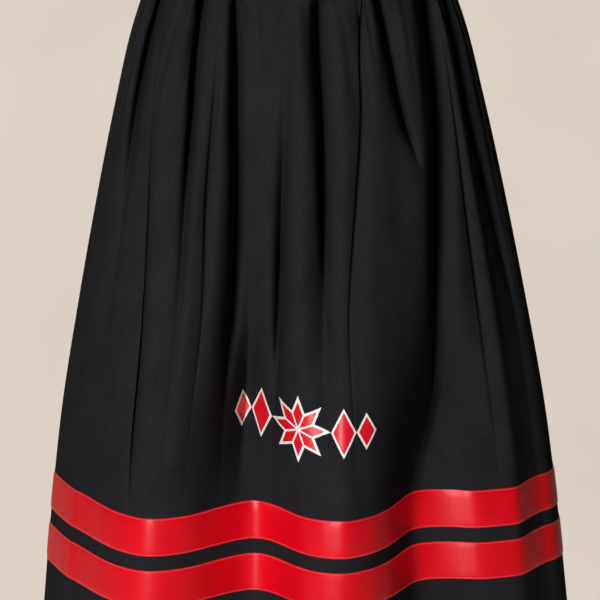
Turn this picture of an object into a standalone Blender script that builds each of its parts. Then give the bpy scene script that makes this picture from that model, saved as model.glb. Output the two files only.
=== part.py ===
"""Gathered A-line ribbon skirt: an elastic waistband, a front and a back panel, and two satin ribbons.

The skirt keeps the hollow form that it has when worn. Its origin is the centre of the waist opening,
halfway up the waistband. +Z is up, and the front of the skirt faces -Y.
"""

from collections import namedtuple

import bpy
import numpy as np

MM = 0.001

# Driving sizes, in millimetres. A drop is a distance below the origin.
BAND_HEIGHT = 38.0
BAND_THICKNESS = 3.0
BAND_RIPPLES = 72
BAND_RIPPLE_DEPTH = 1.1
CLOTH_THICKNESS = 1.5
RIBBON_WIDTH = 38.0
RIBBON_THICKNESS = 1.0
SEAM_GAP = 0.3
RIBBON_LIFT = 0.35
SEAM_DROP = BAND_HEIGHT / 2 + SEAM_GAP
UPPER_RIBBON_DROP = 514.0
LOWER_RIBBON_DROP = 567.0
HEM_DROP = 676.0

# Sections of the skirt on a general figure: half width, and depth before and behind the side seams.
Section = namedtuple("Section", "drop half_width front back")
SECTIONS = (
    Section(19, 149, 113, 114),
    Section(60, 163, 124, 128),
    Section(139, 182.5, 134, 142),
    Section(239, 204, 142, 154),
    Section(341, 224, 149, 163),
    Section(445, 242.5, 154, 169),
    Section(550, 256, 158, 173),
    Section(676, 269, 162, 177),
)

# Folds of the gathered cloth. An angle is in degrees round the figure from the middle of the panel,
# negative to the left as seen from the front. A depth is out (+) or in (-), in millimetres. Both are
# given at the five drops. The widths, in degrees, are how far the fold reaches on its left and right.
FOLD_DROPS = (19, 150, 340, 515, 620)
Fold = namedtuple("Fold", "name angles depths left right")
FRONT_FOLDS = (
    Fold("left wave crest", (-34, -33, -32, -32, -33), (0, 5, 22, 44, 40), 13, 10),
    Fold("left wave trough", (-12, -12, -12.5, -12.5, -12.5), (0, -4, -18, -43, -44), 9, 8),
    Fold("middle wave crest", (12, 9, 6, 6, 6), (0, 5, 15, 34, 27), 8, 10),
    Fold("right wave trough", (54, 48, 40, 30.5, 30), (0, -4, -18, -48, -47), 8, 13),
    Fold("right side hollow", (67, 68, 69, 69, 69), (0, -3, -7, -10, -10), 7, 6),
    Fold("left side hollow", (-74, -75, -76, -76, -76), (0, -1, -2, -3, -3), 7, 6),
    Fold("left outer crease", (-62.5, -61, -60, -60, -60), (-13, -12, -3, 0, 0), 1.8, 2.2),
    Fold("left thin crease", (-54, -50, -44.5, -43.5, -43), (-3, -4, -5, -2, -1), 1.6, 2),
    Fold("left deep crease", (-37, -36, -35, -34.5, -34), (-16, -15, -6, 0, 0), 1.8, 2.4),
    Fold("left fine crease", (-30, -29, -27.4, -26, -26), (-4, -4, -3, 0, 0), 1.6, 1.8),
    Fold("main left crease", (-24.4, -20.5, -19.7, -21.5, -22), (-15, -19, -16, -4, -2), 1.5, 3),
    Fold("middle thin crease", (-4.7, -5, -6.4, -6, -6), (-5, -7, -9, -2, -1), 1.8, 1.6),
    Fold("middle soft ridge", (0, 0, -1, -1, -1), (4, 6, 6, 2, 0), 3, 3),
    Fold("middle deep crease", (6.5, 6.5, 6.2, 6, 6), (-16, -17, -5, 0, 0), 1.7, 2),
    Fold("right thin crease", (25.5, 20.5, 15, 14, 14), (-9, -8, -3, 0, 0), 2.4, 1.6),
    Fold("right soft ridge", (29, 25, 20, 18, 18), (5, 5, 3, 0, 0), 3, 5),
    Fold("slanting crease", (31, 35, 30, 19, 18), (-13, -7, 0, 0, 0), 1.8, 1.8),
    Fold("main right crease", (51, 46, 37, 24, 22), (-9, -21, -15, -2, -1), 2, 2.8),
    Fold("right fine crease", (55.5, 53.5, 51, 50, 50), (-2, -7, -6, -3, -1), 1.4, 1.6),
    Fold("right outer ridge", (59, 57, 55, 54, 54), (3, 5, 6, 3, 1), 2.8, 2.8),
    Fold("right outer crease", (64, 64, 64, 64, 64), (-12, -12, -3, 0, 0), 2, 2.6),
)
BACK_FOLDS = (
    Fold("left wave crest", (-52, -50, -48, -47, -47), (0, 5, 18, 32, 34), 12, 12),
    Fold("left wave trough", (-28, -28, -27, -26, -26), (0, -4, -17, -34, -35), 9, 8),
    Fold("middle wave crest", (-8, -6, -4, -4, -4), (0, 5, 17, 30, 31), 9, 10),
    Fold("right wave trough", (22, 20, 18, 18, 18), (0, -4, -18, -36, -38), 8, 9),
    Fold("right wave crest", (46, 44, 42, 41, 41), (0, 5, 18, 34, 35), 11, 13),
    Fold("right side hollow", (74, 73, 72, 72, 72), (0, -2, -6, -10, -11), 7, 7),
    Fold("left side hollow", (-75, -76, -76, -76, -76), (0, -2, -5, -8, -9), 7, 7),
    Fold("left outer crease", (-66, -65, -64, -64, -64), (-12, -12, -4, 0, 0), 2, 2.2),
    Fold("left slanting crease", (-52, -46, -40, -38, -38), (-13, -14, -7, 0, 0), 1.8, 2.4),
    Fold("left thin crease", (-34, -36, -33, -33, -33), (-6, -7, -4, 0, 0), 1.6, 1.8),
    Fold("main left crease", (-24, -22, -19, -18, -18), (-15, -19, -14, -3, -1), 2.6, 1.6),
    Fold("middle thin crease", (-13, -12, -11, -11, -11), (-5, -6, -4, 0, 0), 1.6, 1.8),
    Fold("middle deep crease", (1, 2, 3.5, 4, 4), (-15, -16, -8, 0, 0), 1.7, 2.4),
    Fold("middle soft ridge", (7, 8, 9, 10, 10), (4, 5, 4, 1, 0), 3, 3),
    Fold("right thin crease", (15, 14, 12, 12, 12), (-7, -8, -4, 0, 0), 1.8, 1.6),
    Fold("main right crease", (30, 29, 27, 25, 25), (-14, -18, -15, -3, -1), 1.6, 3),
    Fold("right slanting crease", (43, 48, 52, 53, 53), (-14, -12, -4, 0, 0), 2, 2),
    Fold("right outer crease", (61, 62, 63, 63, 63), (-12, -12, -5, 0, 0), 1.9, 2.4),
)

# Small gathers that the seam pinches into each panel's top edge. The folds start at the seam with
# a small share of their depth, and reach it a little way below.
GATHER_PITCH = 6.2
GATHER_DEPTH = 2.2
GATHER_REACH = 32.0
SEAM_SHARE = 0.06
FOLD_START = 9.0
# The folds end this many degrees before a side seam, so that both panels meet along it.
SIDE_EASE = 7.0

# How the panels are divided. Columns crowd where the creases are, and every second one stops
# above the drop where the cloth grows smooth.
FINE_COLUMNS = 96
CREASE_DEPTH = 8.0
CREASE_WIDTH = 4.0
CREASE_CROWDING = 2.4
CREASE_SPAN = 3.2
FINE_DROPS = (SEAM_DROP, 28, 42, 62, 90, 128, 172, 220, 270)
COARSE_DROPS = (
    325,
    385,
    450,
    UPPER_RIBBON_DROP,
    UPPER_RIBBON_DROP + RIBBON_WIDTH,
    LOWER_RIBBON_DROP,
    LOWER_RIBBON_DROP + RIBBON_WIDTH,
    642,
    HEM_DROP,
)

# Colours and finishes: linear colour and roughness
BLACK_COTTON = ((0.012, 0.011, 0.013, 1.0), 0.9)
RED_SATIN = ((0.62, 0.004, 0.012, 1.0), 0.35)


def smooth_curve(drop, stations, values):
    """Value at a drop, on the smooth curve through the values at the stations."""
    stations = np.asarray(stations, float)
    values = np.asarray(values, float)
    slopes = np.gradient(values, stations)
    low = np.clip(np.searchsorted(stations, drop) - 1, 0, len(stations) - 2)
    step = stations[low + 1] - stations[low]
    part = np.clip((drop - stations[low]) / step, 0.0, 1.0)
    rest = 1.0 - part
    return (
        values[low] * rest * rest * (1.0 + 2.0 * part)
        + values[low + 1] * part * part * (1.0 + 2.0 * rest)
        + step * part * rest * (slopes[low] * rest - slopes[low + 1] * part)
    )


def section_size(drop, column):
    """Half width or depth of the bare section at a drop."""
    stations = [section.drop for section in SECTIONS]
    return smooth_curve(drop, stations, [getattr(section, column) for section in SECTIONS])


def fold_offset(angle, drop, folds):
    """How far the folds carry the cloth out of the bare section, in millimetres."""
    offset = np.zeros_like(angle)
    for fold in folds:
        away = angle - smooth_curve(drop, FOLD_DROPS, fold.angles)
        width = np.where(away < 0.0, fold.left, fold.right)
        depth = smooth_curve(drop, FOLD_DROPS, fold.depths)
        offset += depth * np.exp(-0.5 * (away / width) ** 2)
    below_seam = max(drop - SEAM_DROP, 0.0)
    offset *= 1.0 - (1.0 - SEAM_SHARE) * np.exp(-below_seam / FOLD_START)
    wander = 1.4 * np.sin(np.radians(angle * 17.0)) + 1.1 * np.sin(np.radians(angle * 29.0 + 40.0))
    gather = np.cos(2.0 * np.pi * (angle + wander) / GATHER_PITCH)
    reach = below_seam / GATHER_REACH
    offset += GATHER_DEPTH * gather * (0.3 + 2.2 * reach) * np.exp(-1.6 * reach)
    ease = np.clip((90.0 - np.abs(angle)) / SIDE_EASE, 0.0, 1.0)
    return offset * ease * ease * (3.0 - 2.0 * ease)


def panel_points(angle, drop, side, folds):
    """Points on a panel's outer face. The side is -1 for the front panel and 1 for the back."""
    half_width = section_size(drop, "half_width")
    depth = section_size(drop, "front" if side < 0 else "back")
    turn = np.radians(angle)
    across = np.sin(turn) / half_width
    outward = np.cos(turn) / depth
    length = np.hypot(across, outward)
    offset = fold_offset(angle, drop, folds)
    x = half_width * np.sin(turn) + offset * across / length
    y = side * (depth * np.cos(turn) + offset * outward / length)
    y = side * np.maximum(side * y, SEAM_GAP / 2)
    return np.stack([x, y, -drop + 0.0 * angle], axis=-1)


def panel_normals(angle, drop, side, folds):
    """Outward unit normals of a panel's outer face, level along the side seams."""
    step = 0.2
    along = panel_points(angle + step, drop, side, folds) - panel_points(angle - step, drop, side, folds)
    down = panel_points(angle, drop + step, side, folds) - panel_points(angle, drop - step, side, folds)
    normal = np.cross(down, along) * -side
    normal[[0, -1]] = [[-1.0, 0.0, 0.0], [1.0, 0.0, 0.0]]
    normal[:, 2] *= 0.0 if drop in (SEAM_DROP, HEM_DROP) else 1.0
    return normal / np.linalg.norm(normal, axis=-1, keepdims=True)


def home_angle(fold):
    """A fold's mean angle over the upper part of the panel, where its columns are told off."""
    return sum(fold.angles[:3]) / 3.0


def column_angles(folds):
    """Home angles of the panel's columns, crowded where the creases are."""
    fine = np.linspace(-90.0, 90.0, 1801)
    crowding = np.ones_like(fine)
    for fold in folds:
        if min(fold.depths) <= -CREASE_DEPTH / 2 and fold.left < CREASE_WIDTH:
            crowding += CREASE_CROWDING * np.exp(-(((fine - home_angle(fold)) / CREASE_SPAN) ** 2))
    reach = np.cumsum(crowding)
    reach = (reach - reach[0]) / (reach[-1] - reach[0])
    return np.interp(np.linspace(0.0, 1.0, FINE_COLUMNS + 1), reach, fine)


def follow_creases(columns, drop, folds):
    """The columns' angles at a drop: they lean with the deep creases, as the cloth's threads do."""
    deep = [fold for fold in folds if min(fold.depths) <= -CREASE_DEPTH and fold.left < CREASE_WIDTH]
    deep = sorted(deep, key=home_angle)
    home = [-90.0] + [home_angle(fold) for fold in deep] + [90.0]
    here = [-90.0] + [float(smooth_curve(drop, FOLD_DROPS, fold.angles)) for fold in deep] + [90.0]
    return np.interp(columns, home, here)


def row_angles(columns, drop, folds):
    """Angles of one row's points, every second column from the first coarse drop down."""
    kept = columns if drop < COARSE_DROPS[0] else columns[::2]
    return follow_creases(kept, drop, folds)


def offset_rows(drops, side, folds, lift):
    """Rows of points that stand off a panel's outer face by the lift."""
    columns = column_angles(folds)
    rows = []
    for drop in drops:
        angle = row_angles(columns, drop, folds)
        normal = panel_normals(angle, drop, side, folds)
        rows.append(panel_points(angle, drop, side, folds) + lift * normal)
    return rows


def strip_faces(upper, lower):
    """Triangles between two rows of point numbers, the lower one as long or half as long."""
    faces = []
    if len(upper) == len(lower):
        for i in range(len(upper) - 1):
            faces += [(upper[i], lower[i], lower[i + 1]), (upper[i], lower[i + 1], upper[i + 1])]
        return faces
    for i in range(len(lower) - 1):
        left, middle, right = upper[2 * i : 2 * i + 3]
        faces += [(left, lower[i], middle), (middle, lower[i], lower[i + 1]), (middle, lower[i + 1], right)]
    return faces


def wall_object(name, outer_rows, inner_rows, material, ring=False):
    """A closed wall between two sets of rows, listed from the top down and from left to right."""
    points = np.concatenate(outer_rows + inner_rows)
    starts = np.cumsum([0] + [len(row) for row in outer_rows + inner_rows])
    numbers = [list(range(start, end)) for start, end in zip(starts[:-1], starts[1:])]
    if ring:
        numbers = [row + row[:1] for row in numbers]
    outer = numbers[: len(outer_rows)]
    inner = numbers[len(outer_rows) :]
    faces = []
    for upper, lower in zip(outer[:-1], outer[1:]):
        faces += strip_faces(upper, lower)
    for upper, lower in zip(inner[:-1], inner[1:]):
        faces += [face[::-1] for face in strip_faces(upper, lower)]
    faces += strip_faces(inner[0], outer[0])
    faces += strip_faces(outer[-1], inner[-1])
    if not ring:
        outer_ends = [[row[0] for row in outer], [row[-1] for row in outer]]
        inner_ends = [[row[0] for row in inner], [row[-1] for row in inner]]
        faces += strip_faces(outer_ends[0], inner_ends[0])
        faces += strip_faces(inner_ends[1], outer_ends[1])
    mesh = bpy.data.meshes.new(name)
    mesh.from_pydata((points * MM).tolist(), [], faces)
    mesh.materials.append(material)
    mesh.validate()
    mesh.shade_smooth()
    mesh.set_sharp_from_angle(angle=np.radians(50.0))
    obj = bpy.data.objects.new(name, mesh)
    bpy.context.scene.collection.objects.link(obj)
    return obj


def cloth_material(name, finish):
    """A cloth's colour and roughness."""
    colour, roughness = finish
    material = bpy.data.materials.new(name)
    material.use_nodes = True
    shader = material.node_tree.nodes["Principled BSDF"]
    shader.inputs["Base Color"].default_value = colour
    shader.inputs["Roughness"].default_value = roughness
    shader.inputs["Metallic"].default_value = 0.0
    return material


def make_panel(name, side, folds, material):
    """One body panel: its outer face follows the folds, and its inner face lies a cloth's wall behind."""
    drops = FINE_DROPS + COARSE_DROPS
    outer = offset_rows(drops, side, folds, 0.0)
    inner = offset_rows(drops, side, folds, -CLOTH_THICKNESS)
    if side > 0:
        outer, inner = inner, outer
    return wall_object(name, outer, inner, material)


def make_ribbon(name, top_drop, side, folds, material):
    """A satin ribbon: the panel's own points between its two edges, moved out."""
    drops = (top_drop, top_drop + RIBBON_WIDTH)
    outer = offset_rows(drops, side, folds, RIBBON_LIFT + RIBBON_THICKNESS)
    inner = offset_rows(drops, side, folds, RIBBON_LIFT)
    if side > 0:
        outer, inner = inner, outer
    return wall_object(name, outer, inner, material)


def make_waistband(material):
    """The elastic casing: a ring whose outer face is ruched all round."""
    turn = np.linspace(0.0, 2.0 * np.pi, 2 * BAND_RIPPLES, endpoint=False)
    half_width = section_size(SEAM_DROP, "half_width") + 0.5
    depth = np.where(
        np.cos(turn) > 0,
        section_size(SEAM_DROP, "front"),
        section_size(SEAM_DROP, "back"),
    ) + 0.5
    ripple = np.cos(BAND_RIPPLES * turn)
    rows = []
    for height, share in ((BAND_HEIGHT / 2, 0.5), (0.0, 1.0), (-BAND_HEIGHT / 2, 0.5)):
        swell = ripple * BAND_RIPPLE_DEPTH * share
        x = (half_width + swell) * np.sin(turn)
        y = -(depth + swell) * np.cos(turn)
        rows.append(np.stack([x, y, np.full_like(x, height)], axis=-1))
    inner = []
    for height in (BAND_HEIGHT / 2, 0.0, -BAND_HEIGHT / 2):
        x = (half_width - BAND_THICKNESS) * np.sin(turn)
        y = -(depth - BAND_THICKNESS) * np.cos(turn)
        inner.append(np.stack([x, y, np.full_like(x, height)], axis=-1))
    return wall_object("waistband", rows, inner, material, ring=True)


def make_skirt():
    """Clears the scene and makes the seven sewn pieces."""
    for obj in list(bpy.data.objects):
        bpy.data.objects.remove(obj, do_unlink=True)
    cotton = cloth_material("black_cotton", BLACK_COTTON)
    satin = cloth_material("red_satin", RED_SATIN)
    make_waistband(cotton)
    for panel, side, folds in (("front", -1, FRONT_FOLDS), ("back", 1, BACK_FOLDS)):
        make_panel(f"{panel}_panel", side, folds, cotton)
        make_ribbon(f"upper_ribbon_{panel}", UPPER_RIBBON_DROP, side, folds, satin)
        make_ribbon(f"lower_ribbon_{panel}", LOWER_RIBBON_DROP, side, folds, satin)


make_skirt()
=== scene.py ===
"""A gathered black ribbon skirt with red satin ribbons, in its hollow worn form."""

from collections import namedtuple

import bpy
import numpy as np
from mathutils import Matrix, Vector


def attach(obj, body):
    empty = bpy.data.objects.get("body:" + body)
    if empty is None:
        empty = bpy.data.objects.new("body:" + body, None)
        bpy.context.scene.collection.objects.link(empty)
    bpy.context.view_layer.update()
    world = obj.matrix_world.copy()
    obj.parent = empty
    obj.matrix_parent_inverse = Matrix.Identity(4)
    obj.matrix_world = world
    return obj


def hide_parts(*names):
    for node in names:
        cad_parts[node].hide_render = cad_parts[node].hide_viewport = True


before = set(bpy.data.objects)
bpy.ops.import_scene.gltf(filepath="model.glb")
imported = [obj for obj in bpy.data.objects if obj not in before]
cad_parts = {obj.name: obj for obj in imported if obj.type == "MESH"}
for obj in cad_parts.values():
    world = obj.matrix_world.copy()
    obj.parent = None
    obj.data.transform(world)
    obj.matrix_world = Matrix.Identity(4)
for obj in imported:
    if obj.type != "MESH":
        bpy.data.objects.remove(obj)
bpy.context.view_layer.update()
bpy.ops.object.select_all(action="DESELECT")


# Front and back panels
# Each is one length of black cotton blend, flared to the hem, gathered into the waistband and joined
# to the other in plain side seams. Its folds fall from the gathers and open into waves at the hem.

MM = 0.001
CLOTH_THICKNESS = 0.5
HEM_THICKNESS = 1.1
HEM_TURNING = 20.0
SEAM_GAP = 0.3
BAND_HEIGHT = 38.0
SEAM_DROP = BAND_HEIGHT / 2 + SEAM_GAP
HEM_DROP = 676.0
COTTON_BLACK = (0.0050, 0.0047, 0.0053, 1.0)
COTTON_GREY = (0.0184, 0.0177, 0.0203, 1.0)
COTTON_THREADS = 2000.0
COTTON_SLUBS = 2.6
RELIEF = 0.0002

Section = namedtuple("Section", "drop half_width front back")
SECTIONS = (
    Section(19, 149, 113, 114),
    Section(60, 163, 124, 128),
    Section(139, 182.5, 134, 142),
    Section(239, 204, 142, 154),
    Section(341, 224, 149, 163),
    Section(445, 242.5, 154, 169),
    Section(550, 256, 158, 173),
    Section(676, 269, 162, 177),
)

FOLD_DROPS = (19, 150, 340, 515, 620)
Fold = namedtuple("Fold", "name angles depths left right")
FRONT_FOLDS = (
    Fold("left wave crest", (-34, -33, -32, -32, -33), (0, 5, 22, 44, 40), 13, 10),
    Fold("left wave trough", (-12, -12, -12.5, -12.5, -12.5), (0, -4, -18, -43, -44), 9, 8),
    Fold("middle wave crest", (12, 9, 6, 6, 6), (0, 5, 15, 34, 27), 8, 10),
    Fold("right wave trough", (54, 48, 40, 30.5, 30), (0, -4, -18, -48, -47), 8, 13),
    Fold("right side hollow", (67, 68, 69, 69, 69), (0, -3, -7, -10, -10), 7, 6),
    Fold("left side hollow", (-74, -75, -76, -76, -76), (0, -1, -2, -3, -3), 7, 6),
    Fold("left first ridge", (-50, -45, -36.9, -33, -33), (1, 3, 5.5, 3, 0), 2.6, 3.4),
    Fold("left second ridge", (-34, -31, -28.3, -25.5, -25), (2, 3, 5, 2.5, 0), 2.2, 2.2),
    Fold("left third ridge", (-27, -23.8, -22.2, -23.5, -24), (2, 4, 4.5, 1, 0), 1.4, 1.2),
    Fold("left soft hollow", (-6, -14.5, -16, -16, -16), (-2, -3, -2, 0, 0), 1.6, 3),
    Fold("middle soft ridge", (0.5, 0.2, -0.9, -1, -1), (4, 5, 5, 2, 0), 2.2, 2.4),
    Fold("middle second ridge", (12, 12.2, 8.8, 8.5, 8.5), (2, 3.5, 4, 2, 0), 2, 2.2),
    Fold("right first ridge", (27, 21.6, 16.4, 15.5, 15), (3, 4, 4, 2, 0), 2, 5),
    Fold("right flap", (41, 38, 36, 36, 36), (3, 4, 0, 0, 0), 3, 3),
    Fold("right second ridge", (58, 52, 45.4, 44.5, 44.5), (2, 4, 5, 4, 2), 1.8, 3.4),
    Fold("right third ridge", (62, 58, 58.3, 57.5, 57), (3, 5, 5, 3, 1), 2.4, 2.6),
)
BACK_FOLDS = (
    Fold("left wave crest", (-52, -50, -48, -47, -47), (0, 5, 18, 32, 34), 12, 12),
    Fold("left wave trough", (-28, -28, -27, -26, -26), (0, -4, -17, -34, -35), 9, 8),
    Fold("middle wave crest", (-8, -6, -4, -4, -4), (0, 5, 17, 30, 31), 9, 10),
    Fold("right wave trough", (22, 20, 18, 18, 18), (0, -4, -18, -36, -38), 8, 9),
    Fold("right wave crest", (46, 44, 42, 41, 41), (0, 5, 18, 34, 35), 11, 13),
    Fold("right side hollow", (74, 73, 72, 72, 72), (0, -2, -6, -10, -11), 7, 7),
    Fold("left side hollow", (-75, -76, -76, -76, -76), (0, -2, -5, -8, -9), 7, 7),
    Fold("left first ridge", (-60, -57, -54, -54, -54), (2, 4, 3, 1, 0), 2.6, 2.2),
    Fold("left second ridge", (-41, -40, -37, -37, -37), (2, 3, 3, 1, 0), 2.2, 2.6),
    Fold("middle soft ridge", (7, 8, 9, 10, 10), (4, 5, 4, 1, 0), 3, 3),
    Fold("middle second ridge", (-6, -6.5, -7.5, -8, -8), (2, 3, 3, 1, 0), 1.8, 2.6),
    Fold("right first ridge", (25, 24, 22.5, 22, 22), (3, 4, 3, 1, 0), 2.2, 2),
    Fold("right second ridge", (36, 38, 40, 41, 41), (2, 3, 4, 1, 0), 2.6, 2.6),
    Fold("right third ridge", (55, 57, 58, 58, 58), (3, 4, 3, 1, 0), 2, 2.4),
)
SEAM_SHARE = 0.06
FOLD_START = 9.0
SIDE_EASE = 7.0

# Creases stand in order from left to right and never cross. A depth below zero ends one sooner.
CREASE_DROPS = (19, 70, 130, 210, 310, 430, 520)
Crease = namedtuple("Crease", "name angles depths left core right")
FRONT_CREASES = (
    Crease("left outer", (-62.2, -61.5, -61.2, -58.5, -57, -56, -56),
           (44, 44, 34, 12, 3, 1, 0), 10, 4.2, 3),
    Crease("left line", (-57, -55.5, -52, -46, -41.5, -38.7, -37.5),
           (1, 2, 3, 9, 14, 15, 0), 14, 0.9, 3),
    Crease("left deep", (-38, -36, -34, -32.4, -30.5, -30, -30), (44, 46, 38, 22, 9, 2, 0), 9, 4.2, 3.5),
    Crease("short line", (-28.6, -27.8, -27.3, -26.6, -25, -25.5, -26),
           (1, 2, 5, 10, 5, 1, 0), 6, 1, 2.5),
    Crease("main left", (-24.2, -21.6, -20.1, -18.6, -18.3, -19.4, -20),
           (24, 38, 44, 44, 38, 5, 0), 2.2, 4.2, 12),
    Crease("left hollow", (-17, -17, -16, -15, -14, -14.5, -16.5), (0, 0, 0, 4, 25, 53, 0), 22, 22, 28),
    Crease("middle line", (-4.2, -4.3, -4.6, -5.2, -5.8, -7, -8.5), (2, 4, 8, 24, 36, 7, 0), 18, 5, 3),
    Crease("middle hollow", (5.5, 5, 5.2, 5, 4.8, 4.4, 4), (0, 0, 0, 4, 17, 6, 0), 20, 13, 12),
    Crease("middle deep", (6.7, 6.1, 6.4, 6.2, 5.8, 5.4, 5), (34, 40, 40, 34, 9, 1, 0), 4, 3.8, 11),
    Crease("right line", (24.2, 20.3, 18.6, 15.1, 11.5, 11, 11), (7, 10, 11, 11, 6, 1, 0), 10, 0.8, 3),
    Crease("slanting", (30, 30.4, 32.4, 38, 34, 26, 20), (32, 38, 28, -14, -14, -14, -14), 7, 3.2, 3),
    Crease("main right", (53, 48.6, 46.6, 42.8, 38.6, 36, 27), (34, 52, 56, 54, 35, 5, 0), 3, 6.2, 13),
    Crease("right hollow", (55, 51, 49, 45, 41, 39, 30), (0, 0, 0, 0, 9, 38, 0), 28, 26, 26),
    Crease("side line", (58, 56, 54.5, 53.5, 53.6, 53.5, 53), (0, 2, 5, 8, 8, 4, 0), 10, 0.9, 5),
    Crease("right outer", (67, 64.2, 63.4, 67, 72.5, 74, 74), (34, 42, 38, 26, 10, 1, 0), 3, 3.6, 8),
)
BACK_CREASES = (
    Crease("left outer", (-67, -66, -65.2, -64.6, -64, -64, -64), (26, 31, 27, 17, 5, 1, 0), 7, 3, 2.5),
    Crease("left slanting", (-54, -50, -46.6, -43.4, -40.6, -38.6, -38),
           (28, 33, 30, 19, 8, 2, 0), 7, 3.2, 2.5),
    Crease("left line", (-33.6, -35, -36, -35, -33.4, -33, -33), (3, 4, 5, 6, 4, 1, 0), 6, 0.8, 2),
    Crease("main left", (-24, -23.2, -22.3, -20.8, -19.3, -18.4, -18),
           (24, 36, 41, 40, 32, 16, 0), 9, 3.4, 2.5),
    Crease("middle line", (-13, -12.6, -12.1, -11.6, -11.1, -11, -11),
           (2, 3, 4, 7, 9, 5, 0), 2.5, 0.9, 6),
    Crease("middle deep", (1, 1.4, 1.9, 2.6, 3.3, 3.8, 4), (32, 37, 37, 30, 15, 4, 0), 2.5, 3.2, 6.5),
    Crease("right line", (15, 14.6, 14.1, 13.2, 12.2, 12, 12), (3, 4, 5, 5, 3, 1, 0), 6, 0.8, 2),
    Crease("main right", (30, 29.7, 29.2, 28.4, 27.3, 25.8, 25),
           (25, 38, 41, 41, 33, 16, 0), 2.5, 3.6, 9),
    Crease("right slanting", (43, 45, 47.4, 49.8, 51.6, 52.8, 53), (26, 31, 26, 14, 4, 0, 0), 2.5, 3, 7),
    Crease("right outer", (61, 61.4, 61.9, 62.4, 62.8, 63, 63), (24, 30, 30, 22, 8, 1, 0), 2.5, 3.2, 7),
)
CREASE_START = 3.5
CREASE_HELD = 0.9
CREASE_ROUNDING = 0.12
CORE_POWER = 1.6

# A gather swells just under the waist seam and fades below it.
GATHER_START = 0.22
GATHER_SWELL = 2.6
GATHER_FADE = 1.5
SEAM_PULL = 1.2
SEAM_PULL_WIDTH = 0.45
SEAM_LEVEL_WIDTH = 1.5
SLOPE_STEP = 0.04
CREASE_CROWDING = 5.0
CROWDED_WIDTH = 1.3

# The columns of a panel are spaced out at this place in CREASE_DROPS.
HOME = 2

Gathers = namedtuple("Gathers", "angle depth width reach lean")
Wrinkles = namedtuple("Wrinkles", "angle drop depth width length")


def smooth_curve(drop, stations, values):
    """Value at a drop, on the smooth curve through the values at the stations."""
    stations = np.asarray(stations, float)
    values = np.asarray(values, float)
    slopes = np.gradient(values, stations)
    low = np.clip(np.searchsorted(stations, drop) - 1, 0, len(stations) - 2)
    step = stations[low + 1] - stations[low]
    part = np.clip((drop - stations[low]) / step, 0.0, 1.0)
    rest = 1.0 - part
    return (
        values[low] * rest * rest * (1.0 + 2.0 * part)
        + values[low + 1] * part * part * (1.0 + 2.0 * rest)
        + step * part * rest * (slopes[low] * rest - slopes[low + 1] * part)
    )


def section_size(drop, column):
    """Half width or depth of the bare section at a drop, in millimetres."""
    stations = [section.drop for section in SECTIONS]
    return smooth_curve(drop, stations, [getattr(section, column) for section in SECTIONS])


def pinched_gathers(seed):
    """The small gathers that the waist seam pinches in: most are short, and a few run far down."""
    draw = np.random.default_rng(seed)
    count = 50
    return Gathers(
        angle=np.linspace(-86.0, 86.0, count) + draw.uniform(-1.4, 1.4, count),
        depth=draw.uniform(1.4, 5.2, count),
        width=draw.uniform(0.7, 1.6, count),
        reach=draw.choice((16.0, 30.0, 54.0, 90.0), count, p=(0.2, 0.35, 0.3, 0.15)),
        lean=draw.uniform(-2.0, 2.0, count),
    )


def soft_wrinkles(seed):
    """Broad shallow wrinkles that handling leaves, up and down the panel."""
    draw = np.random.default_rng(seed)
    count = 60
    return Wrinkles(
        angle=draw.uniform(-82.0, 82.0, count),
        drop=draw.uniform(70.0, 640.0, count),
        depth=draw.uniform(-0.9, 0.8, count),
        width=draw.uniform(1.2, 3.2, count),
        length=draw.uniform(35.0, 110.0, count),
    )


Panel = namedtuple("Panel", "side folds creases gathers wrinkles")
PANELS = {
    "front": Panel(-1, FRONT_FOLDS, FRONT_CREASES, pinched_gathers(11), soft_wrinkles(12)),
    "back": Panel(1, BACK_FOLDS, BACK_CREASES, pinched_gathers(21), soft_wrinkles(22)),
}


def crease_troughs(angle, drop, panel):
    """How far the creases carry the cloth straight in. Each has a steep core and a softer shoulder."""
    across = section_size(drop, "half_width") * np.sin(np.radians(angle))
    total = np.zeros(across.shape)
    for crease in PANELS[panel].creases:
        turn = np.radians(smooth_curve(drop, CREASE_DROPS, crease.angles))
        away = across - section_size(drop, "half_width") * np.sin(turn)
        side = np.where(away < 0.0, crease.left, crease.right)
        shoulder = np.exp(CREASE_ROUNDING - np.hypot(away / side, CREASE_ROUNDING))
        core = np.exp(-np.abs(away / crease.core) ** CORE_POWER)
        depth = np.maximum(smooth_curve(drop, CREASE_DROPS, crease.depths), 0.0)
        total += depth * (core + shoulder) / 2.0
    return total * (1.0 - CREASE_HELD * np.exp(-np.maximum(drop - SEAM_DROP, 0.0) / CREASE_START))


def side_ease(angle):
    """Share of the folds that is left near the side seams, which lie flat."""
    ease = np.clip((90.0 - np.abs(angle)) / SIDE_EASE, 0.0, 1.0)
    return ease * ease * (3.0 - 2.0 * ease)


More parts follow.
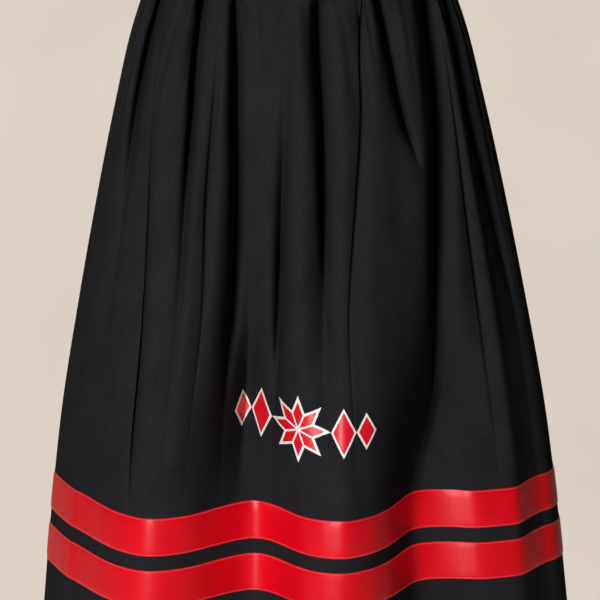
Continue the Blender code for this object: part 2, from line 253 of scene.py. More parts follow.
def cloth_offset(angle, drop, panel):
    """How far folds, gathers and wrinkles carry the cloth out of the bare section."""
    cloth = PANELS[panel]
    offset = np.zeros(np.broadcast(angle, drop).shape)
    for fold in cloth.folds:
        away = angle - smooth_curve(drop, FOLD_DROPS, fold.angles)
        width = np.where(away < 0.0, fold.left, fold.right)
        offset += smooth_curve(drop, FOLD_DROPS, fold.depths) * np.exp(-0.5 * (away / width) ** 2)
    below = np.maximum(drop - SEAM_DROP, 0.0)
    offset *= 1.0 - (1.0 - SEAM_SHARE) * np.exp(-below / FOLD_START)
    for at, depth, width, reach, lean in zip(*cloth.gathers):
        share = below / reach
        away = angle - at - lean * share
        swell = depth * (GATHER_START + GATHER_SWELL * share)
        offset -= swell * np.exp(-GATHER_FADE * share - 0.5 * (away / width) ** 2)
    for at, middle, depth, width, length in zip(*cloth.wrinkles):
        away = ((angle - at) / width) ** 2 + ((drop - middle) / length) ** 2
        offset += depth * np.exp(-0.5 * away)
    return offset * side_ease(angle) - SEAM_PULL * np.exp(-(90.0 - np.abs(angle)) / SEAM_PULL_WIDTH)


def panel_points(angle, drop, panel):
    """Points on a panel's outer face, in millimetres, for angles and drops of one shape."""
    side = PANELS[panel].side
    half_width = section_size(drop, "half_width")
    depth = section_size(drop, panel)
    turn = np.radians(angle)
    across = np.sin(turn) / half_width
    outward = np.cos(turn) / depth
    length = np.hypot(across, outward)
    offset = cloth_offset(angle, drop, panel)
    x = half_width * np.sin(turn) + offset * across / length
    y = depth * np.cos(turn) + offset * outward / length
    y -= crease_troughs(angle, drop, panel) * side_ease(angle)
    return np.stack([x, side * np.maximum(y, 0.0), -drop + 0.0 * x], axis=-1)


def panel_normals(angle, drop, panel):
    """Outward unit normals of a panel's outer face, level and square along its side seams."""
    step = SLOPE_STEP
    along = panel_points(angle + step, drop, panel) - panel_points(angle - step, drop, panel)
    down = panel_points(angle, drop + step, panel) - panel_points(angle, drop - step, panel)
    normal = np.cross(down, along) * -PANELS[panel].side
    normal /= np.linalg.norm(normal, axis=-1, keepdims=True)
    seam = np.clip((np.abs(angle) - 90.0) / SEAM_LEVEL_WIDTH + 1.0, 0.0, 1.0)[..., None]
    straight = np.stack([np.sign(angle), 0.0 * angle, 0.0 * angle], axis=-1)
    normal = normal * (1.0 - seam) + straight * seam
    return normal / np.linalg.norm(normal, axis=-1, keepdims=True)


def column_angles(creases, count):
    """Angles of a panel's columns at the home drop, crowded where the creases are."""
    fine = np.linspace(-90.0, 90.0, 7201)
    density = np.ones_like(fine)
    for crease in creases:
        facing = np.cos(np.radians(crease.angles[HOME]))
        away = (fine - crease.angles[HOME]) * facing / CROWDED_WIDTH
        density += CREASE_CROWDING * facing * np.exp(-(away**2))
    reach = np.cumsum(density)
    reach = (reach - reach[0]) / (reach[-1] - reach[0])
    return np.interp(np.linspace(0.0, 1.0, count), reach, fine)


def panel_grid(panel, drops, count):
    """Angles and drops of a grid of cloth points, whose columns run down along the creases."""
    creases = PANELS[panel].creases
    columns = column_angles(creases, count)
    home = [-90.0] + [crease.angles[HOME] for crease in creases] + [90.0]
    rows = []
    for drop in drops:
        here = [float(smooth_curve(drop, CREASE_DROPS, crease.angles)) for crease in creases]
        rows.append(np.interp(columns, home, [-90.0] + here + [90.0]))
    angle = np.array(rows)
    if PANELS[panel].side > 0:
        angle = angle[:, ::-1]
    return angle, np.repeat(np.asarray(drops, float)[:, None], count, axis=1)


def arc_lengths(points):
    """Length along each row of points, measured from the row's middle."""
    steps = np.linalg.norm(np.diff(points, axis=1), axis=-1)
    lengths = np.concatenate([np.zeros((len(points), 1)), np.cumsum(steps, axis=1)], axis=1)
    return lengths - lengths[:, -1:] / 2.0


def cloth_shell(name, outer, inner, across, down, loop=False):
    """A thin closed wall between two grids of points in millimetres, with a UV map in metres."""
    rows, columns = outer.shape[:2]
    wide = columns + loop
    number = np.arange(rows * columns).reshape(rows, columns)
    if loop:
        number = np.concatenate([number, number[:, :1]], axis=1)
    corner = np.arange(rows * wide).reshape(rows, wide)
    behind = corner + rows * wide

    def quads(a, b, c, d):
        return np.stack([part.ravel() for part in (a, b, c, d)], axis=1)

    faces = [
        quads(corner[:-1, :-1], corner[1:, :-1], corner[1:, 1:], corner[:-1, 1:]),
        quads(behind[:-1, :-1], behind[:-1, 1:], behind[1:, 1:], behind[1:, :-1]),
        quads(behind[0, :-1], corner[0, :-1], corner[0, 1:], behind[0, 1:]),
        quads(corner[-1, :-1], behind[-1, :-1], behind[-1, 1:], corner[-1, 1:]),
    ]
    if not loop:
        faces.append(quads(corner[:-1, 0], behind[:-1, 0], behind[1:, 0], corner[1:, 0]))
        faces.append(quads(behind[:-1, -1], corner[:-1, -1], corner[1:, -1], behind[1:, -1]))
    faces = np.concatenate(faces)
    vertex = np.concatenate([number.ravel(), number.ravel() + rows * columns])
    uv = np.stack([across.ravel(), down.ravel()], axis=1) * MM
    uv = np.concatenate([uv, uv])
    points = np.concatenate([outer.reshape(-1, 3), inner.reshape(-1, 3)]) * MM
    mesh = bpy.data.meshes.new(name)
    mesh.from_pydata(points.tolist(), [], vertex[faces].tolist())
    mesh.uv_layers.new(name="cloth").data.foreach_set("uv", uv[faces].ravel().astype(np.float32))
    mesh.shade_smooth()
    mesh.set_sharp_from_angle(angle=np.radians(60.0))
    piece = bpy.data.objects.new(name, mesh)
    bpy.context.scene.collection.objects.link(piece)
    return piece


def add_node(tree, kind, place, **inputs):
    """A shader node at a place, with the values that its named inputs take."""
    node = tree.nodes.new(kind)
    node.location = place
    for name, value in inputs.items():
        node.inputs[name.replace("_", " ")].default_value = value
    return node


def new_material(name, roughness, specular):
    """A material, its node tree and its shader, with the two gloss values set."""
    material = bpy.data.materials.new(name)
    material.use_nodes = True
    shader = material.node_tree.nodes["Principled BSDF"]
    shader.inputs["Roughness"].default_value = roughness
    shader.inputs["Specular IOR Level"].default_value = specular
    return material, material.node_tree, shader


def colour_between(tree, place, factor, dark, light):
    """The colour between two that a factor gives."""
    mix = add_node(tree, "ShaderNodeMix", place)
    mix.data_type = "RGBA"
    mix.clamp_factor = True
    mix.inputs["A"].default_value = dark
    mix.inputs["B"].default_value = light
    tree.links.new(factor, mix.inputs["Factor"])
    return mix.outputs["Result"]


def raise_surface(tree, place, height, strength, shader):
    """A fine relief on the shader's normal."""
    bump = add_node(tree, "ShaderNodeBump", place, Strength=strength, Distance=RELIEF)
    tree.links.new(height, bump.inputs["Height"])
    tree.links.new(bump.outputs["Normal"], shader.inputs["Normal"])


def math_node(tree, operation, place, *values):
    """A Math node on some sockets or numbers."""
    node = add_node(tree, "ShaderNodeMath", place)
    node.operation = operation
    for socket, value in zip(node.inputs, values):
        if isinstance(value, bpy.types.NodeSocket):
            tree.links.new(value, socket)
        else:
            socket.default_value = value
    return node.outputs[0]


def stretched_noise(tree, vector, place, along, across, detail):
    """Noise on the cloth's UV map, with so many spots to the metre along and across it."""
    mapping = add_node(tree, "ShaderNodeMapping", place)
    mapping.inputs["Scale"].default_value = (along, across, 1.0)
    tree.links.new(vector, mapping.inputs["Vector"])
    noise = add_node(tree, "ShaderNodeTexNoise", (place[0] + 200, place[1]), Scale=1.0, Detail=detail)
    tree.links.new(mapping.outputs["Vector"], noise.inputs["Vector"])
    return noise.outputs["Fac"]


def woven_threads():
    """Plain-woven threads with slubs. Shade is 0 in a hollow of the weave and 1 on a raised thread."""
    group = bpy.data.node_groups.new("woven threads", "ShaderNodeTree")
    face = group.interface
    face.new_socket("Vector", in_out="INPUT", socket_type="NodeSocketVector")
    face.new_socket("Threads", in_out="INPUT", socket_type="NodeSocketFloat")
    face.new_socket("Slubs", in_out="INPUT", socket_type="NodeSocketFloat")
    face.new_socket("Shade", in_out="OUTPUT", socket_type="NodeSocketFloat")
    given = add_node(group, "NodeGroupInput", (-1200, 0))
    made = add_node(group, "NodeGroupOutput", (600, 0))
    split = add_node(group, "ShaderNodeSeparateXYZ", (-1000, 200))
    group.links.new(given.outputs["Vector"], split.inputs["Vector"])
    turn = math_node(group, "MULTIPLY", (-1000, 0), given.outputs["Threads"], np.pi)
    warp = math_node(group, "MULTIPLY", (-800, 300), split.outputs["X"], turn)
    weft = math_node(group, "MULTIPLY", (-800, 100), split.outputs["Y"], turn)
    warp = math_node(group, "SINE", (-600, 300), warp)
    weft = math_node(group, "SINE", (-600, 100), weft)
    weave = math_node(group, "MULTIPLY", (-400, 200), warp, weft)
    weave = math_node(group, "MULTIPLY_ADD", (-200, 200), weave, 0.5, 0.5)
    close, apart = 1100.0, 430.0
    long_slubs = stretched_noise(group, given.outputs["Vector"], (-1000, -200), close, apart, 2.0)
    wide_slubs = stretched_noise(group, given.outputs["Vector"], (-1000, -400), apart, close, 2.0)
    slubs = math_node(group, "ADD", (-500, -300), long_slubs, wide_slubs)
    slubs = math_node(group, "SUBTRACT", (-300, -300), slubs, 1.0)
    slubs = math_node(group, "MULTIPLY", (-100, -300), slubs, given.outputs["Slubs"])
    shade = math_node(group, "ADD", (200, 0), weave, slubs)
    group.links.new(shade, made.inputs["Shade"])
    return group


WOVEN_THREADS = woven_threads()


def cotton_material(name, dark, light, threads, slubs):
    """Matte black cotton blend: a plain weave with slubs and faint cloudy fading."""
    material, tree, shader = new_material(name, 0.95, 0.05)
    uv = add_node(tree, "ShaderNodeUVMap", (-1200, 0))
    uv.uv_map = "cloth"
    weave = add_node(tree, "ShaderNodeGroup", (-900, 100))
    weave.node_tree = WOVEN_THREADS
    weave.inputs["Threads"].default_value = threads
    weave.inputs["Slubs"].default_value = slubs
    tree.links.new(uv.outputs["UV"], weave.inputs["Vector"])
    cloud = stretched_noise(tree, uv.outputs["UV"], (-1000, -200), 45.0, 22.0, 3.0)
    shade = math_node(tree, "MULTIPLY", (-700, 100), weave.outputs["Shade"], 0.65)
    mixed = math_node(tree, "MULTIPLY_ADD", (-500, 0), cloud, 0.7, shade)
    tree.links.new(colour_between(tree, (-300, 100), mixed, dark, light), shader.inputs["Base Color"])
    raise_surface(tree, (-300, -200), weave.outputs["Shade"], 0.35, shader)
    return material


BLACK_COTTON = cotton_material("black_cotton", COTTON_BLACK, COTTON_GREY, COTTON_THREADS, COTTON_SLUBS)

TUCK = 4.0
GATHERED_DEPTH = 60.0
GATHERED_ROWS = 26
LOWER_ROWS = 71
PANEL_COLUMNS = 510
HEM_STEP = 1.5


def panel_drops():
    """Drops of a panel's rows: close together under the seam, and wider apart further down."""
    top = np.linspace(SEAM_DROP - TUCK, SEAM_DROP + GATHERED_DEPTH, GATHERED_ROWS)
    rest = np.linspace(SEAM_DROP + GATHERED_DEPTH, HEM_DROP, LOWER_ROWS)
    return np.concatenate([top, rest[1:]])


def make_panel(panel, name):
    """A panel as a thin wall: double at the turned hem, single above it."""
    angle, drop = panel_grid(panel, panel_drops(), PANEL_COLUMNS)
    outer = panel_points(angle, drop, panel)
    normal = panel_normals(angle, drop, panel)
    turning = np.clip((drop - HEM_DROP + HEM_TURNING) / HEM_STEP, 0.0, 1.0)[..., None]
    wall = CLOTH_THICKNESS + (HEM_THICKNESS - CLOTH_THICKNESS) * turning
    level = normal * np.array([1.0, 1.0, 0.0])
    normal[-1] = level[-1] / np.linalg.norm(level[-1], axis=-1, keepdims=True)
    piece = cloth_shell(name, outer, outer - wall * normal, arc_lengths(outer), -drop)
    piece.data.materials.append(BLACK_COTTON)
    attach(piece, "root")
    return piece


front_cloth = make_panel("front", "front_cloth")
back_cloth = make_panel("back", "back_cloth")
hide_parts("front_panel")
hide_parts("back_panel")


# Satin ribbons
# Two rows of 38 mm red polyester satin ribbon go round the skirt above the hem, laid flat on each
# panel, sewn down along both edges and caught in the side seams.

RIBBON_LEVELS = {"upper": 514.0, "lower": 567.0}
RIBBON_WIDTH = 38.0
RIBBON_LIFT = 0.3
RIBBON_THICKNESS = 0.35
RIBBON_PUFF = 0.35
STITCH_INSET = 1.3
SATIN_RED = (0.66, 0.0006, 0.009, 1.0)
SATIN_DEEP = (0.56, 0.0003, 0.005, 1.0)
SATIN_GLOSS = (1.0, 0.42, 0.48, 1.0)
RIBBON_COLUMNS = 560
PUFF_WIDTH = 5.0
PUCKER = 0.12
PUCKER_WIDTH = 3.0
PUCKER_PITCH = 1.9
PUCKER_WANDER = 1.5
WANDER_PITCH = 21.0
RIBBON_ROWS = (0.0, 0.5, STITCH_INSET, 2.2, 4.0, 8.0, 13.5, 19.0, 24.5, 30.0, 34.0, 35.8,
               RIBBON_WIDTH - STITCH_INSET, 37.5, RIBBON_WIDTH)


def satin_material(name, base, deep):
    """Red satin: its long floats run along the ribbon, so its gloss spreads across it."""
    material, tree, shader = new_material(name, 0.36, 0.65)
    shader.inputs["Specular Tint"].default_value = SATIN_GLOSS
    shader.inputs["Anisotropic"].default_value = 0.4
    shader.inputs["Anisotropic Rotation"].default_value = 0.25
    uv = add_node(tree, "ShaderNodeUVMap", (-1200, 0))
    uv.uv_map = "cloth"
    tangent = add_node(tree, "ShaderNodeTangent", (-300, -500))
    tangent.direction_type = "UV_MAP"
    tangent.uv_map = "cloth"
    tree.links.new(tangent.outputs["Tangent"], shader.inputs["Tangent"])
    floats = stretched_noise(tree, uv.outputs["UV"], (-900, 0), 160.0, 2600.0, 2.0)
    cloud = stretched_noise(tree, uv.outputs["UV"], (-900, -250), 60.0, 60.0, 2.0)
    shade = math_node(tree, "ADD", (-450, 0), floats, cloud)
    shade = math_node(tree, "SUBTRACT", (-300, 0), shade, 0.5)
    tree.links.new(colour_between(tree, (-150, 100), shade, deep, base), shader.inputs["Base Color"])
    raise_surface(tree, (-150, -250), floats, 0.25, shader)
    return material


RED_SATIN = satin_material("red_satin", SATIN_RED, SATIN_DEEP)


def ribbon_surface(panel, top_drop, rows, count):
    """Outer points, normals and drops of a ribbon, puffed a little between its lines of stitching."""
    angle, drop = panel_grid(panel, [top_drop + row for row in rows], count)
    normal = panel_normals(angle, drop, panel)
    points = panel_points(angle, drop, panel)
    inset = np.minimum(drop - top_drop, top_drop + RIBBON_WIDTH - drop)
    puff = np.clip((inset - STITCH_INSET) / PUFF_WIDTH, 0.0, 1.0)
    length = arc_lengths(points)
    waves = np.sin(length / PUCKER_PITCH + PUCKER_WANDER * np.sin(length / WANDER_PITCH))
    pucker = PUCKER * waves * np.exp(-inset / PUCKER_WIDTH)
    lift = RIBBON_LIFT + RIBBON_THICKNESS + RIBBON_PUFF * puff * (2.0 - puff) + pucker
    return points + lift[..., None] * normal, normal, drop


def make_ribbon(panel, level, top_drop):
    """One ribbon on one panel."""
    outer, normal, drop = ribbon_surface(panel, top_drop, RIBBON_ROWS, RIBBON_COLUMNS)
    inner = outer - RIBBON_THICKNESS * normal
    piece = cloth_shell(f"{level}_satin_{panel}", outer, inner, arc_lengths(outer), -drop)
    piece.data.materials.append(RED_SATIN)
    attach(piece, "root")
    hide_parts(f"{level}_ribbon_{panel}")


for panel in PANELS:
    for level, top_drop in RIBBON_LEVELS.items():
        make_ribbon(panel, level, top_drop)


# Machine stitching
# A straight stitch in pale pink thread runs just inside each ribbon's edges. The hem is held by the
# same stitch in black thread.

STITCH_PITCH = 2.8
STITCH_LENGTH = 1.7
STITCH_STEP = 0.4
STITCH_LIFT = 0.1
THREAD_WIDTH = 0.45
THREAD_HEIGHT = THREAD_WIDTH / 1.3
HEM_STITCH_PITCH = 3.2
HEM_STITCH_LIFT = 2.0
LINE_POINTS = 900
PINK_THREAD = (0.80, 0.30, 0.32, 1.0)
BLACK_THREAD = (0.012, 0.011, 0.013, 1.0)


def shaded(colour, share):
    """A colour at a share of its brightness."""
    return tuple(share * part for part in colour[:3]) + (1.0,)


def thread_material(name, colour):
    """Spun polyester thread with a fine twist."""
    material, tree, shader = new_material(name, 0.5, 0.5)
    shader.inputs["Sheen Weight"].default_value = 0.1
    place = add_node(tree, "ShaderNodeTexCoord", (-900, 0))
    twist = add_node(tree, "ShaderNodeTexNoise", (-700, 0), Scale=2200.0, Detail=2.0)
    tree.links.new(place.outputs["Object"], twist.inputs["Vector"])
    mixed = colour_between(tree, (-300, 0), twist.outputs["Fac"], shaded(colour, 0.7), colour)
    tree.links.new(mixed, shader.inputs["Base Color"])
    return material


def one_stitch():
    """A single stitch along X, in millimetres: a short thick thread with round ends."""
    bpy.ops.mesh.primitive_uv_sphere_add(segments=6, ring_count=4, radius=1.0)
    stitch = bpy.context.object
    bpy.ops.object.mode_set(mode="EDIT")
    bpy.ops.mesh.select_all(action="SELECT")
    bpy.ops.transform.rotate(value=np.pi / 2, orient_axis="Y", center_override=(0.0, 0.0, 0.0))
    bpy.ops.transform.resize(value=(STITCH_LENGTH / 2, THREAD_WIDTH / 2, THREAD_HEIGHT / 2))
    bpy.ops.object.mode_set(mode="OBJECT")
    points = np.array([vertex.co for vertex in stitch.data.vertices])
    faces = [list(face.vertices) for face in stitch.data.polygons]
    bpy.data.objects.remove(stitch, do_unlink=True)
    return points, faces


def stitch_places(points, normals, pitch):
    """Places, directions and normals of the stitches along one line of cloth points."""
    steps = np.linalg.norm(np.diff(points, axis=0), axis=-1)
    length = np.concatenate([[0.0], np.cumsum(steps)])
    at = np.arange(pitch, length[-1] - pitch, pitch)

    def read(values, where):
        return np.stack([np.interp(where, length, values[:, axis]) for axis in range(3)], axis=-1)

    ahead = read(points, at + STITCH_STEP) - read(points, at - STITCH_STEP)
    return read(points, at), ahead / np.linalg.norm(ahead, axis=-1, keepdims=True), read(normals, at)


def sew_lines(name, lines, material, pitch=STITCH_PITCH):
    """One piece for all the stitches of some lines of cloth points."""
    template, faces = one_stitch()
    points, polygons = [], []
    for line, normals in lines:
        for centre, ahead, up in zip(*stitch_places(line, normals, pitch)):
            beside = np.cross(up, ahead)
            polygons += [[index + len(points) * len(template) for index in face] for face in faces]
            points.append(centre + template @ np.stack([ahead, beside, up]))
    mesh = bpy.data.meshes.new(name)
    mesh.from_pydata((np.concatenate(points) * MM).tolist(), [], polygons)
    mesh.shade_smooth()
    mesh.materials.append(material)
    piece = bpy.data.objects.new(name, mesh)
    bpy.context.scene.collection.objects.link(piece)
    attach(piece, "root")


def ribbon_edge_lines(panel, top_drop):
    """The two lines where a ribbon is sewn down."""
    rows = (STITCH_INSET, RIBBON_WIDTH - STITCH_INSET)
    points, normals, _ = ribbon_surface(panel, top_drop, rows, LINE_POINTS)
    return [(points[row] + STITCH_LIFT * normals[row], normals[row]) for row in (0, 1)]


pink_thread = thread_material("pink_thread", PINK_THREAD)
for panel in PANELS:
    for level, top_drop in RIBBON_LEVELS.items():
        lines = ribbon_edge_lines(panel, top_drop)
        sew_lines(f"{level}_stitches_{panel}", lines, pink_thread)

black_thread = thread_material("black_thread", BLACK_THREAD)
for panel in PANELS:
    angle, drop = panel_grid(panel, [HEM_DROP - HEM_TURNING + HEM_STITCH_LIFT], LINE_POINTS)
    line = panel_points(angle, drop, panel)[0], panel_normals(angle, drop, panel)[0]
    sew_lines(f"hem_stitches_{panel}", [line], black_thread, HEM_STITCH_PITCH)


# Star and diamonds
# A flat transfer low on the front, in red film on a wider white film: an eight-point star pieced from
# diamonds, with two diamonds on each side of it.

MOTIF_DROP = 430.0
MOTIF_ANGLE = -1.2
STAR_REACH = 27.5
HALF_POINT = 22.5
FILM_LIFT = 0.08
FILM_THICKNESS = 0.18
WHITE_RIM = 2.4
LEVEL_SHARE = 0.75
MAP_REACH = 60.0
MAP_SPREAD = 34.0
MAP_ROWS = 61
MAP_COLUMNS = 1361
FILM_SQUARES = 14
FILM_GAP = 0.04
RED_INSET = 2.0
RED_OUTSET = 1.0
RED_SHARE = 0.93
RIM_SLANT = 1.6
Diamond = namedtuple("Diamond", "across width height")
SIDE_DIAMONDS = (Diamond(45.0, 20.0, 40.0), Diamond(67.5, 15.0, 28.0))
FILM_WHITE = (0.84, 0.80, 0.79, 1.0)
FILM_RED = (0.68, 0.004, 0.016, 1.0)


def film_material(name, colour, roughness):
    """Heat-pressed film: smooth, with the weave showing faintly through it."""
    material, tree, shader = new_material(name, roughness, 0.4)
    place = add_node(tree, "ShaderNodeTexCoord", (-900, 0))
    grain = add_node(tree, "ShaderNodeTexNoise", (-700, 0), Scale=900.0, Detail=3.0)
    tree.links.new(place.outputs["Object"], grain.inputs["Vector"])
    mixed = colour_between(tree, (-300, 0), grain.outputs["Fac"], shaded(colour, 0.86), colour)
    tree.links.new(mixed, shader.inputs["Base Color"])
    raise_surface(tree, (-300, -200), grain.outputs["Fac"], 0.3, shader)
    return material


def cloth_map():
    """A fine grid of the front round the motif. Its distances across are mostly the level ones."""
    drops = np.linspace(MOTIF_DROP - MAP_REACH, MOTIF_DROP + MAP_REACH, MAP_ROWS)
    angles = np.linspace(MOTIF_ANGLE - MAP_SPREAD, MOTIF_ANGLE + MAP_SPREAD, MAP_COLUMNS)
    angle, drop = np.meshgrid(angles, drops)
    points = panel_points(angle, drop, "front")
    across = LEVEL_SHARE * points[..., 0] + (1.0 - LEVEL_SHARE) * arc_lengths(points)
    return drops, angles, points, panel_normals(angle, drop, "front"), across


CLOTH_MAP = cloth_map()


def laid_on_cloth(across, up, lift):
    """Points of the front at distances across and up from the motif's centre, lifted off the cloth."""
    drops, angles, points, normals, lengths = CLOTH_MAP
    raised = points + lift * normals
    places = []
    for x, z in zip(across, up):
        row = (MOTIF_DROP - z - drops[0]) / (drops[1] - drops[0])
        low = int(np.clip(row, 0, len(drops) - 2))
        share = row - low
        ends = []
        for here in (low, low + 1):
            centre = np.interp(MOTIF_ANGLE, angles, lengths[here])
            at = centre + x
            ends.append([np.interp(at, lengths[here], raised[here][:, axis]) for axis in range(3)])
        places.append(np.array(ends[0]) * (1.0 - share) + np.array(ends[1]) * share)
    return np.array(places)


def lay_diamond(name, centre, first, second, lift, material):
    """A film diamond whose two edges from one corner are the first and second directions."""
    bpy.ops.mesh.primitive_grid_add(x_subdivisions=FILM_SQUARES, y_subdivisions=FILM_SQUARES, size=2.0)
    film = bpy.context.object
    film.name = film.data.name = name
    flat = np.array([vertex.co for vertex in film.data.vertices]) / 2.0
    across = centre[0] + flat[:, 0] * first[0] + flat[:, 1] * second[0]
    up = centre[1] + flat[:, 0] * first[1] + flat[:, 1] * second[1]
    places = laid_on_cloth(across, up, lift) * MM
    film.data.vertices.foreach_set("co", places.astype(np.float32).ravel())
    film.location = (0.0, 0.0, 0.0)
    bpy.ops.object.mode_set(mode="EDIT")
    bpy.ops.mesh.select_all(action="SELECT")
    bpy.ops.mesh.normals_make_consistent(inside=False)
    bpy.ops.object.mode_set(mode="OBJECT")
    if np.mean([face.normal.y for face in film.data.polygons]) > 0:
        film.data.flip_normals()
    wall = film.modifiers.new("thickness", "SOLIDIFY")
    wall.thickness = FILM_THICKNESS * MM
    wall.offset = 1.0
    bpy.ops.object.modifier_apply(modifier=wall.name)
    film.data.shade_smooth()
    film.data.set_sharp_from_angle(angle=np.radians(50.0))
    film.data.materials.append(material)
    film.select_set(False)
    return film


def join_films(films, name):
    """The films of one colour as one piece."""
    bpy.ops.object.select_all(action="DESELECT")
    for film in films:
        film.select_set(True)
    bpy.context.view_layer.objects.active = films[0]
    bpy.ops.object.join()
    joined = bpy.context.object
    joined.name = joined.data.name = name
    joined.select_set(False)
    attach(joined, "root")


def star_points(reach, turn):
    """The middle of one of the star's eight diamonds, and its two edges from the star's centre."""
    side = reach / (2.0 * np.cos(np.radians(HALF_POINT)))
    left, right = np.radians(turn - HALF_POINT), np.radians(turn + HALF_POINT)
    first = side * np.array([np.sin(left), np.cos(left)])
    second = side * np.array([np.sin(right), np.cos(right)])
    return (first + second) / 2.0, first, second


white_film = film_material("white_film", FILM_WHITE, 0.5)
red_film = film_material("red_film", FILM_RED, 0.42)
white_parts, red_parts = [], []
RED_LIFT = FILM_LIFT + FILM_THICKNESS + FILM_GAP
for turn in range(0, 360, 45):
    middle, first, second = star_points(STAR_REACH + 2.0 * WHITE_RIM, turn)
    white_parts.append(lay_diamond("white_point", middle, first, second, FILM_LIFT, white_film))
    middle, first, second = star_points(STAR_REACH - RED_INSET, turn)
    middle = middle * (STAR_REACH + RED_OUTSET) / (STAR_REACH - RED_INSET)
    first, second = first * RED_SHARE, second * RED_SHARE
    red_parts.append(lay_diamond("red_point", middle, first, second, RED_LIFT, red_film))
for diamond in SIDE_DIAMONDS:
    for side in (-1, 1):
        centre = np.array([side * diamond.across, 0.0])
        for rim, parts, lift, film in (
            (WHITE_RIM, white_parts, FILM_LIFT, white_film),
            (0.0, red_parts, RED_LIFT, red_film),
        ):
            half_width = diamond.width / 2 + rim
            half_height = diamond.height / 2 + RIM_SLANT * rim
            first = np.array([half_width, half_height])
            second = np.array([half_width, -half_height])
            parts.append(lay_diamond("side_diamond", centre, first, second, lift, film))
join_films(white_parts, "motif_white")
join_films(red_parts, "motif_red")


# Waistband
# A strip of the same black cotton blend is folded over flat elastic and sewn to the gathered panels.
# The elastic draws it up, so that its outer face is ruched all round.

BAND_THICKNESS = 3.0
BAND_RIPPLES = 72
BAND_RIPPLE_DEPTH = 1.1
BAND_COLUMNS = 720
BAND_GIRTH = 830.0
ROW_LENGTH = 2.6
RISE_ROWS = 16
FALL_ROWS = 10
SEWN_SHARE = 0.35
SEWN_WIDTH = 6.0
BAND_LIFT = 0.5
CASING_STITCH_DROP = 14.5
CASING_STITCH_DEPTH = 0.5


def casing_profile():
    """The casing's section from its outer lower edge over the top: outset, height and ripple share."""
    half = BAND_THICKNESS / 2
    rise = np.linspace(-BAND_HEIGHT / 2, BAND_HEIGHT / 2 - half, RISE_ROWS)
    turn = np.linspace(0.0, np.pi, 9)[1:-1]
    fall = np.linspace(BAND_HEIGHT / 2 - half, -BAND_HEIGHT / 2, FALL_ROWS)
    outset = np.concatenate([np.full(RISE_ROWS, half), half * np.cos(turn), np.full(FALL_ROWS, -half)])
    height = np.concatenate([rise, BAND_HEIGHT / 2 - half + half * np.sin(turn), fall])
    facing = np.concatenate([np.zeros(RISE_ROWS), turn, np.full(FALL_ROWS, np.pi)])
    edge = np.clip((BAND_HEIGHT / 2 - np.abs(height)) / SEWN_WIDTH, 0.0, 1.0)
    share = np.where(outset > 0, SEWN_SHARE + (1.0 - SEWN_SHARE) * edge, SEWN_SHARE)
    return outset, height, facing, share


def make_waistband():
    """The ruched casing as a thin folded wall."""
    outset, height, facing, share = (part[::-1, None] for part in casing_profile())
    turn = np.linspace(0.0, 2.0 * np.pi, BAND_COLUMNS, endpoint=False)[None, :]
    wander = 0.35 * np.sin(5.0 * turn + 0.6) + 0.25 * np.sin(11.0 * turn)
    wander = wander + 0.2 * np.sin(17.0 * turn + 2.0)
    slant = 0.012 * height * np.sin(9.0 * turn + 1.0)
    ripple = np.cos(BAND_RIPPLES * turn + wander + slant)
    fine = 0.35 * np.cos(2.6 * BAND_RIPPLES * turn + 2.0 * wander + 0.05 * height)
    swell = share * BAND_RIPPLE_DEPTH * (0.8 * ripple + 0.3 * fine * np.sin(7.0 * turn))
    sewn = np.exp(-((height + CASING_STITCH_DROP) ** 2))
    swell = swell - CASING_STITCH_DEPTH * sewn * (outset > 0)
    grids = []
    for inset in (0.0, CLOTH_THICKNESS):
        out = outset + BAND_LIFT - BAND_THICKNESS / 2 + swell - inset * np.cos(facing)
        lift = height - inset * np.sin(facing) + 0.0 * turn
        half_width = section_size(SEAM_DROP, "half_width") + out
        depth = np.where(
            np.cos(turn) > 0, section_size(SEAM_DROP, "front"), section_size(SEAM_DROP, "back")
        )
        x = half_width * np.sin(turn)
        y = -(depth + out) * np.cos(turn)
        grids.append(np.stack([x, y, lift], axis=-1))
    around = np.linspace(0.0, BAND_GIRTH, BAND_COLUMNS + 1)[None, :] + np.zeros_like(height)
    down = np.cumsum(np.full(height.shape, ROW_LENGTH))[:, None] + 0.0 * around
    piece = cloth_shell("waist_casing", grids[0], grids[1], around, -down, loop=True)
    piece.data.materials.append(BLACK_COTTON)
    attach(piece, "root")
    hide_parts("waistband")


make_waistband()


# Studio
# A wide floor of pale beige paper, one tall soft light beside the camera, a weak one at its left, one
# over the paper behind, and one for the skirt's back.

FLOOR_DROP = 1.06
FLOOR_HALF = 14.0
PAPER_BEIGE = (0.40, 0.368, 0.333, 1.0)
PAPER_GLOW = (0.785, 0.688, 0.602)
GLOW_SHARE = 0.85
LAMP_WHITE = (1.0, 0.985, 0.97)
ROOM_WHITE = (1.0, 0.99, 0.98, 1.0)
ROOM_LIGHT = 0.03
SKIRT_MIDDLE = (0.0, 0.0, -0.4)
CAMERA_RISE = 14.0
CAMERA_DISTANCE = 3.6
CAMERA_ROLL = 0.65
CAMERA_ASIDE = -0.002
FRAME_CENTRE = (0.0, 0.0, -0.341)
FRAME_HEIGHT = 0.6


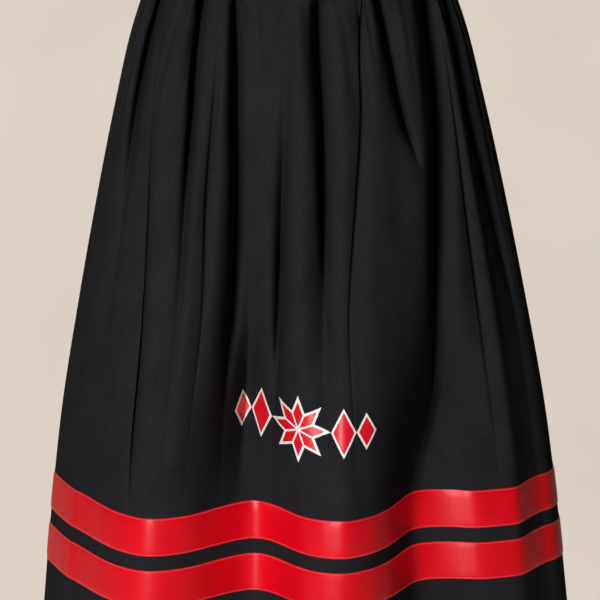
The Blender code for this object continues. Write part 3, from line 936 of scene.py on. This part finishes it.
def paper_material():
    """Pale beige paper with a soft mottle. Seen straight from a camera, it mostly glows evenly."""
    material, tree, shader = new_material("backdrop_paper", 0.95, 0.05)
    place = add_node(tree, "ShaderNodeTexCoord", (-1100, 0))
    mottle = stretched_noise(tree, place.outputs["Object"], (-900, 0), 2.6, 0.7, 6.0)
    beige = colour_between(tree, (-300, 0), mottle, shaded(PAPER_BEIGE, 0.86), shaded(PAPER_BEIGE, 1.12))
    tree.links.new(beige, shader.inputs["Base Color"])
    glow = add_node(tree, "ShaderNodeEmission", (0, -500))
    pale = colour_between(tree, (-300, -500), mottle, shaded(PAPER_GLOW, 0.92), shaded(PAPER_GLOW, 1.07))
    tree.links.new(pale, glow.inputs["Color"])
    seen = add_node(tree, "ShaderNodeLightPath", (-300, 500))
    share = math_node(tree, "MULTIPLY", (0, 500), seen.outputs["Is Camera Ray"], GLOW_SHARE)
    either = add_node(tree, "ShaderNodeMixShader", (300, 0))
    tree.links.new(share, either.inputs["Fac"])
    tree.links.new(shader.outputs["BSDF"], either.inputs[1])
    tree.links.new(glow.outputs["Emission"], either.inputs[2])
    tree.links.new(either.outputs["Shader"], tree.nodes["Material Output"].inputs["Surface"])
    return material


bpy.ops.object.select_all(action="DESELECT")
bpy.ops.mesh.primitive_plane_add(size=2.0)
floor = bpy.context.object
floor.name = "paper_floor"
bpy.ops.object.mode_set(mode="EDIT")
bpy.ops.transform.resize(value=(FLOOR_HALF, FLOOR_HALF, 1.0))
bpy.ops.transform.translate(value=(0.0, 0.0, -FLOOR_DROP))
bpy.ops.object.mode_set(mode="OBJECT")
floor.data.materials.append(paper_material())
floor.select_set(False)


def soft_light(name, place, target, width, height, power, spread=180.0):
    """A soft rectangular light that faces a target."""
    lamp = bpy.data.lights.new(name, "AREA")
    lamp.shape = "RECTANGLE"
    lamp.size = width
    lamp.size_y = height
    lamp.energy = power
    lamp.color = LAMP_WHITE
    lamp.spread = np.radians(spread)
    light = bpy.data.objects.new(name, lamp)
    light.location = place
    light.rotation_euler = (Vector(target) - Vector(place)).to_track_quat("-Z", "Y").to_euler()
    light.visible_camera = False
    bpy.context.scene.collection.objects.link(light)


soft_light("key_light", (-1.1, -3.15, 0.3), SKIRT_MIDDLE, 1.0, 2.0, 132.0)
soft_light("left_fill", (-2.9, -1.3, 0.3), SKIRT_MIDDLE, 1.6, 2.2, 1.5)
soft_light("paper_light", (-1.2, 5.2, 3.4), (-1.0, 5.0, -1.0), 3.0, 4.5, 140.0, 130.0)
soft_light("back_light", (-0.2, 2.6, 1.7), SKIRT_MIDDLE, 1.0, 2.0, 26.0, 70.0)

world = bpy.data.worlds.new("studio_room")
world.use_nodes = True
room = world.node_tree
dim = room.nodes["Background"]
dim.inputs["Color"].default_value = ROOM_WHITE
dim.inputs["Strength"].default_value = ROOM_LIGHT
wall = add_node(room, "ShaderNodeBackground", (0, -200), Color=PAPER_GLOW + (1.0,))
seen = add_node(room, "ShaderNodeLightPath", (-200, 200))
either = add_node(room, "ShaderNodeMixShader", (200, 0))
room.links.new(seen.outputs["Is Camera Ray"], either.inputs["Fac"])
room.links.new(dim.outputs["Background"], either.inputs[1])
room.links.new(wall.outputs["Background"], either.inputs[2])
room.links.new(either.outputs["Shader"], room.nodes["World Output"].inputs["Surface"])
bpy.context.scene.world = world
bpy.context.scene.view_settings.view_transform = "Standard"

lens = bpy.data.cameras.new("camera")
lens.sensor_width = 36.0
lens.lens = lens.sensor_width * CAMERA_DISTANCE / FRAME_HEIGHT
lens.clip_end = 50.0
camera = bpy.data.objects.new("camera", lens)
rise = np.radians(CAMERA_RISE)
target = Vector(FRAME_CENTRE) + Vector((CAMERA_ASIDE, 0.0, 0.0))
place = target + CAMERA_DISTANCE * Vector((0.0, -np.cos(rise), np.sin(rise)))
facing = (target - place).to_track_quat("-Z", "Y").to_matrix().to_4x4()
roll = Matrix.Rotation(-np.radians(CAMERA_ROLL), 4, "Z")
camera.matrix_world = Matrix.Translation(place) @ facing @ roll
bpy.context.scene.collection.objects.link(camera)
bpy.context.scene.camera = camera
